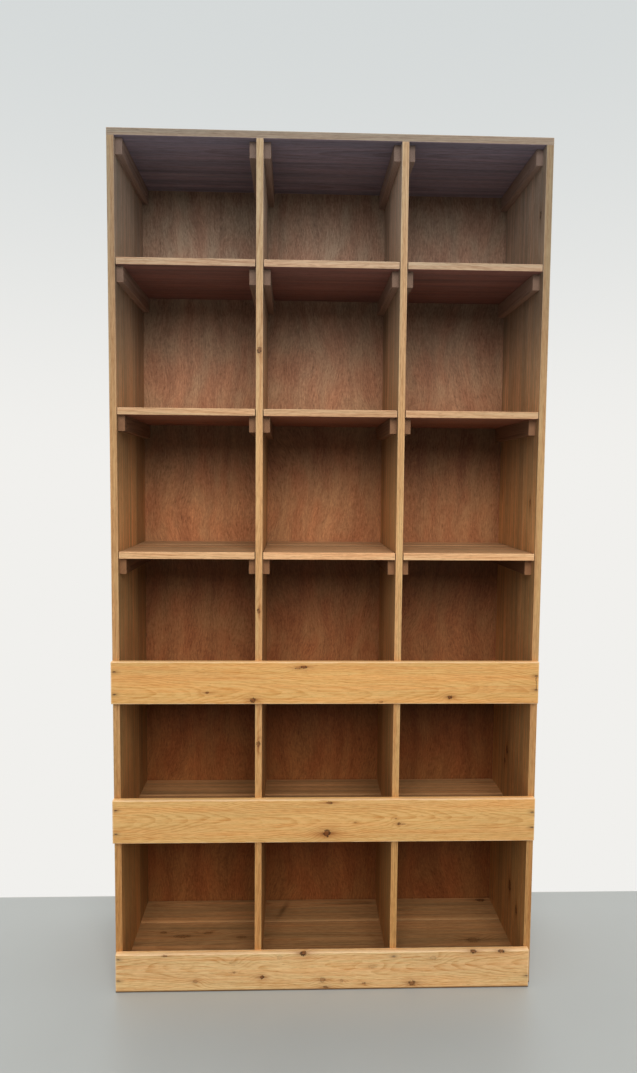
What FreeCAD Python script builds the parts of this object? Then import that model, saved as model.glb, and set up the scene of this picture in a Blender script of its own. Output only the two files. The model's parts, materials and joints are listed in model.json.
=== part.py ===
import FreeCAD, Part
import math
import os

# Pigeonhole bookcase of planed pine boards: three columns by six rows.
# Millimetres, +Z up, the front looks towards -Y.
# The origin lies on the floor, in the middle of the width and of the whole depth.

# Clear widths of the columns, between the faces of the uprights
COLUMN_LEFT = 315.0
COLUMN_MIDDLE = 310.0
COLUMN_RIGHT = 311.0

# Clear heights of the rows, from the top of a shelf's front board to the board above it
ROW_1 = 263.0
ROW_2 = 317.0
ROW_3 = 313.0
ROW_4 = 320.0
ROW_5 = 317.0
ROW_6 = 334.0

# Boards: every panel is a wide and a narrow board, edge to edge
BOARD = 16.0                   # thickness of uprights, top and shelves
WIDE_BOARD = 211.0
CASE_DEPTH = 317.0             # front edges of the uprights to the face of the back panel
EDGE_EASE = 0.7                # flat taken off a planed board's long arrises
REAR_BOARD_PROUD = 1.0         # a shelf's rear board is thicker than its front board by this much

# Room round the shelves
SHELF_END_GAP = 2.0            # at each end of a loose shelf
SHELF_BACK_GAP = 2.0           # between a shelf and the back panel

# Cleats: battens that carry the ends of the top and of the loose shelves
CLEAT_THICKNESS = 16.0
CLEAT_HEIGHT = 36.0
CLEAT_EASE = 0.8               # flat taken off a batten's long arrises
CLEAT_SETBACK_LEFT = 13.0      # front end of a cleat behind the front edge of its upright
CLEAT_SETBACK_DIVIDER = 18.0
CLEAT_SETBACK_RIGHT = 24.0
CLEAT_BACK_GAP = 1.0           # rear end of a cleat short of the back panel

# Front rails, nailed on the front edges of the uprights
RAIL_THICKNESS = 17.0
UPPER_RAIL_HEIGHT = 99.0
LOWER_RAIL_HEIGHT = 103.0
PLINTH_HEIGHT = 93.0
RAIL_ROUND = 2.0               # rounding of a rail's long arrises
RAIL_RIGHT_SHORT = 4.0         # right end of a rail short of the right side's outer face
PLINTH_LEFT_SHORT = 3.0
PLINTH_RIGHT_SHORT = 8.0

# Back panel of plywood
BACK_THICKNESS = 4.0
BACK_INSET = 3.0               # its edges inside the outline of the case
BACK_FLOOR_GAP = 4.0

# Nails: flat wire brads with a T head, punched below the surface
NAIL_LENGTH = 40.0
NAIL_POINT = 4.0
NAIL_GAUGE = 1.8               # thickness of the flat wire
NAIL_SHANK = 2.2               # width of the shank
NAIL_HEAD = 5.0                # width of the head
NAIL_HEAD_HEIGHT = 1.6
NAIL_SINK = 1.5                # top of the head below the surface
NAIL_CLEARANCE = 0.1           # round a nail in its hole
HOLE_MOUTH = 2.0               # a hole's cutter reaches out of the surface by this much
RAIL_NAIL_INSET_LEFT = 23.0    # from a rail's upper and lower edge, into the left side
RAIL_NAIL_INSET_RIGHT = 33.0   # the same, into the right side
PLINTH_NAIL_RISE = 29.0        # above the floor, at both ends of the plinth
PLINTH_NAIL_DROP = 11.0        # below the plinth's upper edge, at its left end and the right divider
PANEL_NAIL_INSET = 60.0        # from the front and rear edge of the top and of the fixed shelves
SKEW_NAIL_LENGTH = 28.0
SKEW_NAIL_START = 12.0         # from the divider's face, on the underside of the shelf
SKEW_NAIL_ANGLE = 40.0         # degrees above the level
CLEAT_NAIL_LENGTH = 28.0
CLEAT_NAIL_INSET = 30.0        # from the front and rear end of a cleat
CLEAT_NAIL_STAGGER = 20.0      # further in at the right end of a column, to pass on a divider
CLEAT_NAIL_RISE = 10.0         # above the lower edge of a cleat
BACK_NAIL_LENGTH = 25.0
BACK_NAIL_SINK = 0.4
BACK_NAIL_INSET = 70.0         # from the upper and lower end of an upright
BACK_NAILS_PER_UPRIGHT = 5

# Levels are counted from the top: 1 is the highest shelf, 6 the bottom one
ROWS = (ROW_1, ROW_2, ROW_3, ROW_4, ROW_5, ROW_6)
COLUMNS = (("left", COLUMN_LEFT), ("middle", COLUMN_MIDDLE), ("right", COLUMN_RIGHT))
# An upright's front board is the wide one, but on the right side the narrow one
UPRIGHTS = (
    ("left_side", WIDE_BOARD, CLEAT_SETBACK_LEFT),
    ("left_divider", WIDE_BOARD, CLEAT_SETBACK_DIVIDER),
    ("right_divider", WIDE_BOARD, CLEAT_SETBACK_DIVIDER),
    ("right_side", CASE_DEPTH - WIDE_BOARD, CLEAT_SETBACK_RIGHT),
)
LOOSE_LEVELS = (1, 2, 3)
RAILED_LEVELS = (4, 5)
BOTTOM_LEVEL = 6
FIXED_LEVELS = RAILED_LEVELS + (BOTTOM_LEVEL,)

# Planes of the case
CASE_WIDTH = COLUMN_LEFT + COLUMN_MIDDLE + COLUMN_RIGHT + len(UPRIGHTS) * BOARD
LEFT_FACE = -CASE_WIDTH / 2
RIGHT_FACE = CASE_WIDTH / 2
RAIL_FACE = -(RAIL_THICKNESS + CASE_DEPTH + BACK_THICKNESS) / 2
FRONT = RAIL_FACE + RAIL_THICKNESS
SEAM = FRONT + WIDE_BOARD
BACK = FRONT + CASE_DEPTH
SHELF_REAR = BACK - SHELF_BACK_GAP
REAR_FACE = BACK + BACK_THICKNESS

Vector = FreeCAD.Vector
ALONG_X = Vector(1, 0, 0)
ALONG_Y = Vector(0, 1, 0)
ALONG_Z = Vector(0, 0, 1)
PARALLEL_ANGLE = 0.001         # radians

nodes = {}


def shelf_undersides():
    """Heights of the shelves' undersides by level, stacked up from the cleats on the floor."""
    undersides = {}
    height = CLEAT_THICKNESS
    for level in range(BOTTOM_LEVEL, 0, -1):
        undersides[level] = height
        height += BOARD + ROWS[level - 1]
    return undersides


def upright_left_faces():
    """Left faces of the uprights, from left to right."""
    faces = [LEFT_FACE]
    for _, width in COLUMNS:
        faces.append(faces[-1] + BOARD + width)
    return faces


UNDERSIDE = shelf_undersides()
UPRIGHT_TOP = UNDERSIDE[1] + BOARD + ROW_1
CASE_TOP = UPRIGHT_TOP + BOARD
UPRIGHT_X = upright_left_faces()


def edges_along(solid, direction):
    """The edges of a box that run along a direction."""
    return [edge for edge in solid.Edges if edge.Curve.Direction.isParallel(direction, PARALLEL_ANGLE)]


def plank(low, high):
    """A square-edged piece of timber between two corners."""
    size = high - low
    return Part.makeBox(size.x, size.y, size.z, low)


def board(low, high, grain, ease=EDGE_EASE):
    """A planed board between two corners, with the arrises along its grain taken off."""
    solid = plank(low, high)
    return solid.makeChamfer(ease, edges_along(solid, grain))


def brad(length, sink, head_top, room=0.0):
    """A T-headed brad driven down from a surface at the origin, or with some room, its hole."""
    head = NAIL_HEAD / 2 + room
    shank = NAIL_SHANK / 2 + room
    thickness = NAIL_GAUGE + 2 * room
    head_foot = -sink - NAIL_HEAD_HEIGHT - room
    half = [
        (head, head_top),
        (head, head_foot),
        (shank, head_foot),
        (shank, NAIL_POINT - length),
        (0, -length - room),
    ]
    mirrored = [(-x, z) for x, z in reversed(half[:-1])]
    outline = [Vector(x, -thickness / 2, z) for x, z in half + mirrored]
    return Part.Face(Part.makePolygon(outline + outline[:1])).extrude(ALONG_Y * thickness)


def with_holes(shape, holes):
    """A board, or a row of boards, with the holes that reach it cut out."""
    solids = []
    for solid in shape.Solids:
        reached = [hole for hole in holes if hole.BoundBox.intersect(solid.BoundBox)]
        solids += (solid.cut(reached) if reached else solid).Solids
    return solids[0] if len(solids) == 1 else Part.makeCompound(solids)


def drive_nails(group, seats, direction, head_along, names, length=NAIL_LENGTH, sink=NAIL_SINK):
    """Drive a nail at each seat along the direction, and open its hole in the named boards."""
    turn = FreeCAD.Rotation(head_along, head_along.cross(direction), -direction, "ZXY")
    nails = []
    holes = []
    for seat in seats:
        place = FreeCAD.Placement(seat, turn).toMatrix()
        nails.append(brad(length, sink, -sink).transformed(place))
        holes.append(brad(length, sink, HOLE_MOUTH, NAIL_CLEARANCE).transformed(place))
    for name in names:
        nodes[name] = with_holes(nodes[name], holes)
    earlier = nodes[group].Solids if group in nodes else []
    nodes[group] = Part.makeCompound(earlier + nails)


def uprights():
    """The two sides and two dividers, each a front and a rear board edge to edge."""
    for (name, front_width, _), x in zip(UPRIGHTS, UPRIGHT_X):
        seam = FRONT + front_width
        nodes[name + "_front_board"] = board(
            Vector(x, FRONT, 0), Vector(x + BOARD, seam, UPRIGHT_TOP), ALONG_Z)
        nodes[name + "_rear_board"] = board(
            Vector(x, seam, 0), Vector(x + BOARD, BACK, UPRIGHT_TOP), ALONG_Z)


def top():
    """The top's two boards, laid over the ends of the uprights."""
    nodes["top_front_board"] = board(
        Vector(LEFT_FACE, FRONT, UPRIGHT_TOP), Vector(RIGHT_FACE, SEAM, CASE_TOP), ALONG_X)
    nodes["top_rear_board"] = board(
        Vector(LEFT_FACE, SEAM, UPRIGHT_TOP), Vector(RIGHT_FACE, BACK, CASE_TOP), ALONG_X)


def shelves():
    """A shelf of two boards in every pigeonhole. Loose ones have room at their ends."""
    for level, underside in UNDERSIDE.items():
        end_gap = SHELF_END_GAP if level in LOOSE_LEVELS else 0.0
        for index, (column, _) in enumerate(COLUMNS):
            left = UPRIGHT_X[index] + BOARD + end_gap
            right = UPRIGHT_X[index + 1] - end_gap
            name = "shelf_%d_%s" % (level, column)
            nodes[name + "_front_board"] = board(
                Vector(left, FRONT, underside), Vector(right, SEAM, underside + BOARD), ALONG_X)
            nodes[name + "_rear_board"] = board(
                Vector(left, SEAM, underside),
                Vector(right, SHELF_REAR, underside + BOARD + REAR_BOARD_PROUD), ALONG_X)


def cleat_row(top_height, width, height):
    """A cleat on each upright face that looks into a column, their tops at one height."""
    cleats = []
    for index in range(len(COLUMNS)):
        left = UPRIGHT_X[index] + BOARD
        right = UPRIGHT_X[index + 1]
        for x, setback in ((left, UPRIGHTS[index][2]), (right - width, UPRIGHTS[index + 1][2])):
            low = Vector(x, FRONT + setback, top_height - height)
            high = Vector(x + width, BACK - CLEAT_BACK_GAP, top_height)
            cleats.append(board(low, high, ALONG_Y, CLEAT_EASE))
    return Part.makeCompound(cleats)


def cleats():
    """Upright cleats under the top and the loose shelves, and flat ones under the bottom shelf."""
    nodes["top_cleats"] = cleat_row(UPRIGHT_TOP, CLEAT_THICKNESS, CLEAT_HEIGHT)
    for level in LOOSE_LEVELS:
        nodes["shelf_%d_cleats" % level] = cleat_row(UNDERSIDE[level], CLEAT_THICKNESS, CLEAT_HEIGHT)
    nodes["floor_cleats"] = cleat_row(UNDERSIDE[BOTTOM_LEVEL], CLEAT_HEIGHT, CLEAT_THICKNESS)


def rail(name, left, right, bottom, height, nail_rises):
    """A front rail, nailed into the edges of the named uprights at some rises above its lower edge."""
    solid = plank(Vector(left, RAIL_FACE, bottom), Vector(right, FRONT, bottom + height))
    nodes[name] = solid.makeFillet(RAIL_ROUND, edges_along(solid, ALONG_X))
    seats = []
    for (upright, _, _), x in zip(UPRIGHTS, UPRIGHT_X):
        middle = (max(left, x) + min(right, x + BOARD)) / 2
        seats += [Vector(middle, RAIL_FACE, bottom + rise) for rise in nail_rises.get(upright, ())]
    holed = [upright + "_front_board" for upright in nail_rises]
    drive_nails("rail_nails", seats, ALONG_Y, ALONG_X, [name] + holed)


def rails():
    """The rails that hold in the two railed shelves, and the plinth on the floor."""
    heights = (UPPER_RAIL_HEIGHT, LOWER_RAIL_HEIGHT)
    for name, level, height in zip(("upper_rail", "lower_rail"), RAILED_LEVELS, heights):
        rail(name, LEFT_FACE, RIGHT_FACE - RAIL_RIGHT_SHORT, UNDERSIDE[level], height, {
            "left_side": (RAIL_NAIL_INSET_LEFT, height - RAIL_NAIL_INSET_LEFT),
            "right_side": (RAIL_NAIL_INSET_RIGHT, height - RAIL_NAIL_INSET_RIGHT),
        })
    upper_rise = PLINTH_HEIGHT - PLINTH_NAIL_DROP
    rail("plinth", LEFT_FACE + PLINTH_LEFT_SHORT, RIGHT_FACE - PLINTH_RIGHT_SHORT, 0, PLINTH_HEIGHT, {
        "left_side": (PLINTH_NAIL_RISE, upper_rise),
        "right_divider": (upper_rise,),
        "right_side": (PLINTH_NAIL_RISE,),
    })


def back():
    """The plywood sheet over the rear edges of the case."""
    nodes["back_panel"] = Part.makeBox(
        CASE_WIDTH - 2 * BACK_INSET, BACK_THICKNESS, CASE_TOP - BACK_INSET - BACK_FLOOR_GAP,
        Vector(LEFT_FACE + BACK_INSET, BACK, BACK_FLOOR_GAP))


def upright_boards():
    """Names of all the boards of the uprights."""
    return [name + part for name, _, _ in UPRIGHTS for part in ("_front_board", "_rear_board")]


def top_nails():
    """One nail through each board of the top into the end of each upright."""
    places = (FRONT + PANEL_NAIL_INSET, BACK - PANEL_NAIL_INSET)
    seats = [Vector(x + BOARD / 2, y, CASE_TOP) for x in UPRIGHT_X for y in places]
    boards = ["top_front_board", "top_rear_board"] + upright_boards()
    drive_nails("top_nails", seats, -ALONG_Z, ALONG_X, boards)


def shelf_boards(levels, column):
    """Names of the boards of the shelves at some levels of a column."""
    names = ["shelf_%d_%s" % (level, column) for level in levels]
    return [name + part for name in names for part in ("_front_board", "_rear_board")]


def shelf_nail_places():
    """Depths of the two nails in a fixed shelf's end, one in each board."""
    return FRONT + PANEL_NAIL_INSET, SHELF_REAR - PANEL_NAIL_INSET


def side_nails():
    """One nail through an upright into the end of each board of the fixed shelves on its inner side."""
    places = shelf_nail_places()
    heights = [UNDERSIDE[level] + BOARD / 2 for level in FIXED_LEVELS]
    left_side, left_divider, right_divider, right_side = UPRIGHT_X
    for face, inward, column in (
            (left_side, ALONG_X, "left"), (left_divider, ALONG_X, "middle"),
            (right_divider + BOARD, -ALONG_X, "middle"), (right_side + BOARD, -ALONG_X, "right")):
        seats = [Vector(face, y, z) for z in heights for y in places]
        boards = shelf_boards(FIXED_LEVELS, column) + upright_boards()
        drive_nails("side_nails", seats, inward, ALONG_Z, boards)


def skew_nails():
    """One slanting nail from below each board of the railed outer shelves into the divider.

    It stands halfway between the seam and the nail that goes through the divider.
    """
    places = [(SEAM + place) / 2 for place in shelf_nail_places()]
    angle = math.radians(SKEW_NAIL_ANGLE)
    for column, face, inward in (
            ("left", UPRIGHT_X[1], ALONG_X), ("right", UPRIGHT_X[2] + BOARD, -ALONG_X)):
        x = face - inward.x * SKEW_NAIL_START
        seats = [Vector(x, y, UNDERSIDE[level]) for level in RAILED_LEVELS for y in places]
        slant = inward * math.cos(angle) + ALONG_Z * math.sin(angle)
        boards = shelf_boards(RAILED_LEVELS, column) + upright_boards()
        drive_nails("side_nails", seats, slant, ALONG_Y, boards, SKEW_NAIL_LENGTH)


def cleat_nails():
    """Two nails through each upright cleat into the face that carries it."""
    for name in ["top_cleats"] + ["shelf_%d_cleats" % level for level in LOOSE_LEVELS]:
        boxes = [cleat.BoundBox for cleat in nodes[name].Solids]
        at_left = [(box, box.XMax, CLEAT_NAIL_INSET) for box in boxes[0::2]]
        at_right = [(box, box.XMin, CLEAT_NAIL_INSET + CLEAT_NAIL_STAGGER) for box in boxes[1::2]]
        for ends, inward in ((at_left, -ALONG_X), (at_right, ALONG_X)):
            seats = []
            for box, face, inset in ends:
                height = box.ZMin + CLEAT_NAIL_RISE
                seats += [Vector(face, y, height) for y in (box.YMin + inset, box.YMax - inset)]
            drive_nails("cleat_nails", seats, inward, ALONG_Y, [name] + upright_boards(), CLEAT_NAIL_LENGTH)


def back_nails():
    """A row of nails through the back panel into each upright, and one per column into the top."""
    step = (UPRIGHT_TOP - 2 * BACK_NAIL_INSET) / (BACK_NAILS_PER_UPRIGHT - 1)
    heights = [BACK_NAIL_INSET + step * count for count in range(BACK_NAILS_PER_UPRIGHT)]
    seats = [Vector(x + BOARD / 2, REAR_FACE, z) for x in UPRIGHT_X for z in heights]
    for left, right in zip(UPRIGHT_X, UPRIGHT_X[1:]):
        seats.append(Vector((left + BOARD + right) / 2, REAR_FACE, UPRIGHT_TOP + BOARD / 2))
    boards = ["back_panel", "top_rear_board"] + upright_boards()
    drive_nails("back_nails", seats, -ALONG_Y, ALONG_Z, boards, BACK_NAIL_LENGTH, BACK_NAIL_SINK)


uprights()
top()
shelves()
cleats()
rails()
back()
top_nails()
side_nails()
skew_nails()
cleat_nails()
back_nails()

os.makedirs("parts", exist_ok=True)
for node, shape in nodes.items():
    shape.exportStep("parts/%s.step" % node)
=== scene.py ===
import json
import math
import random

import bpy
from mathutils import Matrix, Vector


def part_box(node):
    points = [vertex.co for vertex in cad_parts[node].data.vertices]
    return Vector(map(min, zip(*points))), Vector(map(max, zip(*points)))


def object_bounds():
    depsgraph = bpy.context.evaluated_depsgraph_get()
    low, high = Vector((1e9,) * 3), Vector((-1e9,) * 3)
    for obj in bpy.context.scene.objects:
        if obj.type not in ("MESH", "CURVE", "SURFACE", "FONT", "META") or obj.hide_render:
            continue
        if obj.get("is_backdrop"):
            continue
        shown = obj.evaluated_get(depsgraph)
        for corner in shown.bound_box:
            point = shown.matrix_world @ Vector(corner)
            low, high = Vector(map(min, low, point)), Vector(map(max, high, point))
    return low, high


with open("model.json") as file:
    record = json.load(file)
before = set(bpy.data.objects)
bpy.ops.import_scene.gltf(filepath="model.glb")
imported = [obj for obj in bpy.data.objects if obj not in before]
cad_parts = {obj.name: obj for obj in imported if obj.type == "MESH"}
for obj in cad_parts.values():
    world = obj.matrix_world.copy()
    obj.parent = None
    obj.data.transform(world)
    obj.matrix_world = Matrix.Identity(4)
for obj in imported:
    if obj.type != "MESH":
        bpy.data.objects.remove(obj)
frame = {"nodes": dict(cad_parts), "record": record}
cad_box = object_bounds()

# Lengths are in metres

# Camera: the photograph's frame and the place it was taken from
IMAGE_HEIGHT = 1073            # pixels, the long side
FOCAL_LENGTH = 745             # pixels
SENSOR = 36.0                  # millimetres along the long side
CAMERA_PLACE = Vector((-0.0806, -1.8705, 1.2144))
CAMERA_YAW = 1.905             # degrees towards +X
CAMERA_PITCH = 4.165           # degrees downwards
CAMERA_ROLL = -0.476           # degrees

# Floor, which turns white behind the bookcase, with its colours in 8-bit screen values
FLOOR_HALF = 40.0
WALL_LINE = 0.248              # where it turns white
WALL_BLEND = (-0.003, 0.003)   # the turn's start and end, from that line
WALL_GLOW = (-0.002, 0.006)    # the same for the even white that is seen there
FLOOR_GREY = (170, 174, 173)
FLOOR_WHITE = (238, 238, 236)
FLOOR_PATCHES = (0.4, 3.0)     # size and detail of faint patches
FLOOR_PATCH_LIGHT = 0.1
FLOOR_ROUGHNESS = 0.32
FLOOR_SPECULAR = 0.5

# Surroundings: what is seen of them, and the soft light that comes from each side
WALL_WHITE = (241, 240, 237)
SKY_GREY = (213, 217, 217)
SKY_RISE = (0.0, 0.55)         # from the horizon up to where the grey is full
FRONT_LIGHT = 0.08
REAR_LIGHT = 0.7
OVERHEAD_LIGHT = 1.2
FRONT_TURN = (0.25, -0.35)     # backward part of a direction between rear and front
FRONT_RISE = (0.0, 0.6)        # upward part over which the front light grows
LOW_FRONT = 0.12               # share of it at the horizon
OVERHEAD_RISE = (0.55, 0.95)   # upward part over which the overhead light grows
WARMTH = (0.985, 0.96)         # green and blue of the light, for a red of 1

# Lamp in front: its place, the point that it is turned to, width and height, watts, and linear colour
KEY_PLACE = (0.1, -4.2, 3.3)
KEY_TARGET = (0.0, 0.0, 1.0)
KEY_SIZE = (3.6, 2.6)
KEY_POWER = 180.0
KEY_COLOUR = (1.0, 0.98, 0.95)

# Knots on the front rails: place along the rail, height, radius, how stretched along the grain, how dark
RAIL_KNOTS = {
    "upper_rail": (
        (-0.056, 0.786, 0.0034, 2.0, 1.0), (-0.279, 0.726, 0.0022, 2.2, 0.9),
        (-0.173, 0.708, 0.0058, 1.0, 0.9), (0.287, 0.715, 0.0042, 1.1, 1.0),
        (0.125, 0.704, 0.0020, 2.5, 0.5), (-0.070, 0.783, 0.0020, 3.0, 0.6),
    ),
    "lower_rail": (
        (0.001, 0.388, 0.0082, 1.0, 1.0), (0.007, 0.462, 0.0030, 2.2, 0.7),
        (0.173, 0.410, 0.0030, 1.3, 1.0), (0.068, 0.414, 0.0018, 1.5, 0.5),
        (0.165, 0.423, 0.0016, 1.5, 0.5), (0.183, 0.409, 0.0014, 4.0, 0.6),
    ),
    "plinth": (
        (-0.052, 0.094, 0.0075, 1.0, 1.0), (-0.151, 0.034, 0.0042, 1.1, 1.0),
        (-0.308, 0.026, 0.0050, 1.2, 0.35), (-0.381, 0.090, 0.0024, 2.4, 0.8),
        (-0.108, 0.083, 0.0060, 1.0, 0.15), (-0.217, 0.047, 0.0022, 1.5, 0.4),
        (-0.219, 0.071, 0.0070, 1.2, 0.12), (-0.006, 0.025, 0.0060, 1.1, 0.4),
        (0.002, 0.007, 0.0032, 1.6, 0.8), (0.040, 0.023, 0.0045, 0.8, 0.3),
        (0.094, 0.015, 0.0026, 1.6, 0.7), (0.210, 0.014, 0.0065, 1.1, 0.85),
        (0.260, 0.077, 0.0055, 1.4, 0.2), (0.357, 0.093, 0.0056, 1.2, 1.0),
        (0.425, 0.092, 0.0046, 1.5, 1.0), (0.113, 0.057, 0.0050, 1.8, 0.15),
    ),
}
# Heart of the log that a rail was cut from: above the rail's middle, behind it, and its slope to the rail
RAIL_PITHS = {
    "upper_rail": (-0.022, 0.045, 0.050),
    "lower_rail": (0.004, 0.040, 0.060),
    "plinth": (0.010, 0.050, -0.045),
}
# Knots on the left divider's front edge and on the right side's inner face: place, radius, stretch, darkness
UPRIGHT_KNOTS = (
    (-0.161, -0.152, 1.512, 0.0055, 1.2, 0.9), (-0.161, -0.152, 0.914, 0.0040, 1.4, 0.8),
    (-0.161, -0.152, 0.598, 0.0045, 1.4, 0.8), (0.484, -0.104, 1.169, 0.0050, 1.5, 0.7),
    (0.484, 0.029, 0.516, 0.0065, 1.6, 1.0), (0.484, 0.045, 0.481, 0.0050, 1.4, 1.0),
    (0.484, -0.027, 0.176, 0.0085, 1.8, 1.0), (0.484, -0.086, 0.145, 0.0065, 1.6, 0.9),
)
# Knots on the bottom shelf, in the same terms
SHELF_KNOTS = (
    (-0.365, -0.001, 0.032, 0.0060, 3.6, 0.5), (-0.416, 0.017, 0.032, 0.0045, 2.0, 0.5),
    (-0.300, 0.013, 0.032, 0.0050, 2.2, 0.4), (-0.210, -0.007, 0.032, 0.0050, 2.6, 0.4),
    (0.391, -0.031, 0.032, 0.0100, 1.7, 0.4), (0.455, 0.151, 0.033, 0.0065, 1.8, 0.8),
)

# A dark streak on the bottom shelf: its middle, half its length and the way it points
SHELF_STAIN = ((-0.104, 0.113), 0.040, (0.33, 0.94))
STAIN_WIDTH = 0.007
STAIN_LEVEL = (0.033, 0.01)    # height of the face that it lies on, and how far from there it fades
STAIN_RAGGED = (0.012, 3.0)    # size and detail of its ragged outline
STAIN_STRAY = 1.2              # how far the outline strays, in widths
STAIN_SHARE = 0.55
# A split beside the nails at the upper rail's right end: place along the rail, lowest and highest point
RAIL_SPLIT = (0.4905, 0.730, 0.762)
SPLIT_WIDTH = 0.0009
SPLIT_TIP = 0.002              # half the length over which its ends fade
SPLIT_CROOK = (0.012, 2.0)     # size and detail of its bends
SPLIT_STRAY = 0.008
SPLIT_SHARE = 0.8
# Stain round a nail: half width and half height of the dark slit and of the rust, and their strength
NAIL_SLIT = (0.0050, 0.0021)
NAIL_SLIT_SHARE = 0.95
NAIL_SLIT_RAGGED = 0.001
NAIL_RUST = (0.011, 0.005)
NAIL_RUST_SHARE = 0.4
NAIL_REACH = 0.006             # no nail's wire reaches further than this from its axis

# Shade of a board's front edge, of its other faces and of its upper end, by material slot or for one board
# partly each board's own tone, partly painted light and shade: faces set lighter or darker than front edges
# by how light falls
BOARD_TONES = {
    "pine_upright": (0.95, 1.14, 1.0),
    "pine_top": (1.0, 0.9, 1.0),
    "pine_shelf": (1.0, 0.84, 1.0),
    # painted light on the rails' upper faces
    "pine_rail": (1.0, 1.2, 1.0),
    "left_side_front_board": (0.80, 1.18, 0.74),
    "left_side_rear_board": (0.8, 0.74, 0.9),
    "left_divider_rear_board": (0.9, 0.85, 1.0),
    "right_divider_rear_board": (0.9, 0.85, 1.0),
    "right_side_front_board": (0.80, 1.20, 0.66),
    "right_side_rear_board": (0.83, 1.10, 0.9),
}
LOOSE_EDGE_TONES = {1: 0.88, 2: 0.95, 3: 1.1}  # front edges of the loose shelves, by level
# painted shade on the rear shelf boards' front arrises at the seam, and on the shelves' faces
REAR_EDGE_TONE = 0.45
SHELF_FACE_TONE = 0.82
TONE_SPREAD = (0.95, 1.05)     # chance factor on all shades of a board
for column in ("left", "middle", "right"):
    for level, edge_tone in LOOSE_EDGE_TONES.items():
        BOARD_TONES[f"shelf_{level}_{column}_front_board"] = (edge_tone, SHELF_FACE_TONE, 1.0)
    for level in range(1, 7):
        BOARD_TONES[f"shelf_{level}_{column}_rear_board"] = (REAR_EDGE_TONE, SHELF_FACE_TONE, 1.0)

# Colours of the wood in 8-bit screen values: first the pale wood and then the dark, by material slot
WOOD_COLOURS = {
    "pine_upright": ((216, 171, 120), (160, 111, 65)),
    "pine_top": ((174, 145, 114), (126, 97, 72)),
    "pine_shelf": ((218, 174, 131), (164, 116, 76)),
    "pine_cleat": ((146, 104, 72), (108, 70, 45)),
    "plywood_back": ((206, 146, 101), (140, 91, 60)),
}
RAIL_COLOURS = {"upper_rail": (220, 172, 110), "lower_rail": (226, 179, 117), "plinth": (231, 193, 141)}
RAIL_LATEWOOD = (190, 129, 60)
KNOT_RESIN = (164, 98, 42)
KNOT_HEART = (112, 60, 20)
KNOT_BARK = (46, 25, 6)
# colour of the stains by the nails, the split and the shelf's streak, and of the painted contact shadow at
# the foot
STAIN_AND_FOOT_SHADOW = (68, 36, 10)
# pale arrises: partly wear and partly painted highlight, and on the rails painted highlight
WORN_AND_HIGHLIT_ARRIS = (232, 190, 144)
RAIL_ARRIS_HIGHLIGHT = (242, 212, 172)
STEEL_COLOUR = (52, 38, 26)
RUST_COLOUR = (56, 30, 12)

# Tints: factors on red, green and blue, and an alpha of 1
WHITE = (1.0, 1.0, 1.0, 1.0)
# painted shade on the downward faces of the top and of the shelves, with a grey tint under the top
TOP_UNDERSIDE_SHADE = (0.90, 0.85, 1.03, 1.0)
SHELF_UNDERSIDE_SHADE = (0.47, 0.29, 0.29, 1.0)
GREY_PINE = (0.74, 0.90, 1.20, 1.0)
BROWN_PINE = (0.93, 0.82, 0.64, 1.0)
GREY_FACE = (1.12, 1.28, 1.8, 1.0)
GREY_BATTEN = (1.7, 2.1, 2.8, 1.0)
GREY_BATTEN_END = (0.86, 1.04, 1.35, 1.0)
GREY_PLYWOOD = (0.84, 1.24, 2.0, 1.0)
RED_AND_SHADED_PLYWOOD = (0.56, 0.42, 0.27, 1.0)
YELLOW_STREAK = (0.98, 1.03, 1.0, 1.0)
RED_STREAK = (1.03, 0.945, 0.87, 1.0)
RED_PATCH = (1.05, 0.95, 0.90, 1.0)
YELLOW_PATCH = (0.96, 1.04, 1.02, 1.0)

# Tints by height, painted shade and shadow, and darker end grain
GREYED = (1.10, 1.95)          # heights between which the wood turns greyer, towards the top
BROWNED = (1.1, 0.15)          # heights between which pine turns brown, towards the floor
DARKENED_AND_REDDENED = (1.25, 0.35)        # heights between which the plywood turns darker and redder: the darkening is painted shade, the redder hue the plywood's own
FACE_DIMMING = 0.2             # how much darker a board's faces are near the floor
SHELF_SHADE_DROP = 0.25              # height below a shelf over which a painted shade darkens the wood
PLYWOOD_SHADES = (0.35, 0.45, 0.62, 0.58, 0.48, 0.48)  # how dark that painted shade is on the back, from the top row down
# the same painted shade on the uprights' inner faces, from the top row down
UPRIGHT_SHADES = (0.1, 0.5, 0.52, 0.4, 0.25, 0.25)
CASE_HALF = 0.4915             # inner faces of the uprights lie nearer to the middle than this
SHADE_EDGE = 0.001             # width over which such a shade starts
RIGHT_SHADE_SPAN = (0.12, 0.30)     # places along the back between which a painted shade darkens it towards the right
RIGHT_SHADE_SHARE = 0.15
FOOT_SHADOW = (0.006, 0.0025)   # heights between which a painted contact shadow darkens what stands on the floor
FOOT_SHADOW_SHARE = 0.85
END_DARKENING = 0.3            # how much darker end grain is

# Parts of a normal between which a face counts as facing an axis's plus side, its minus side or either
FACING_PLUS = (0.5, 0.8)
FACING_MINUS = (-0.5, -0.8)
FACING_EITHER = (0.6, 0.8)

# Order of a board's axes, as indices into X, Y, Z: along the grain, across the face, through the board
GRAIN_ACROSS_SHELF = (0, 1, 2)
GRAIN_ALONG_RAIL = (0, 2, 1)
GRAIN_UP = (2, 1, 0)

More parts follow.
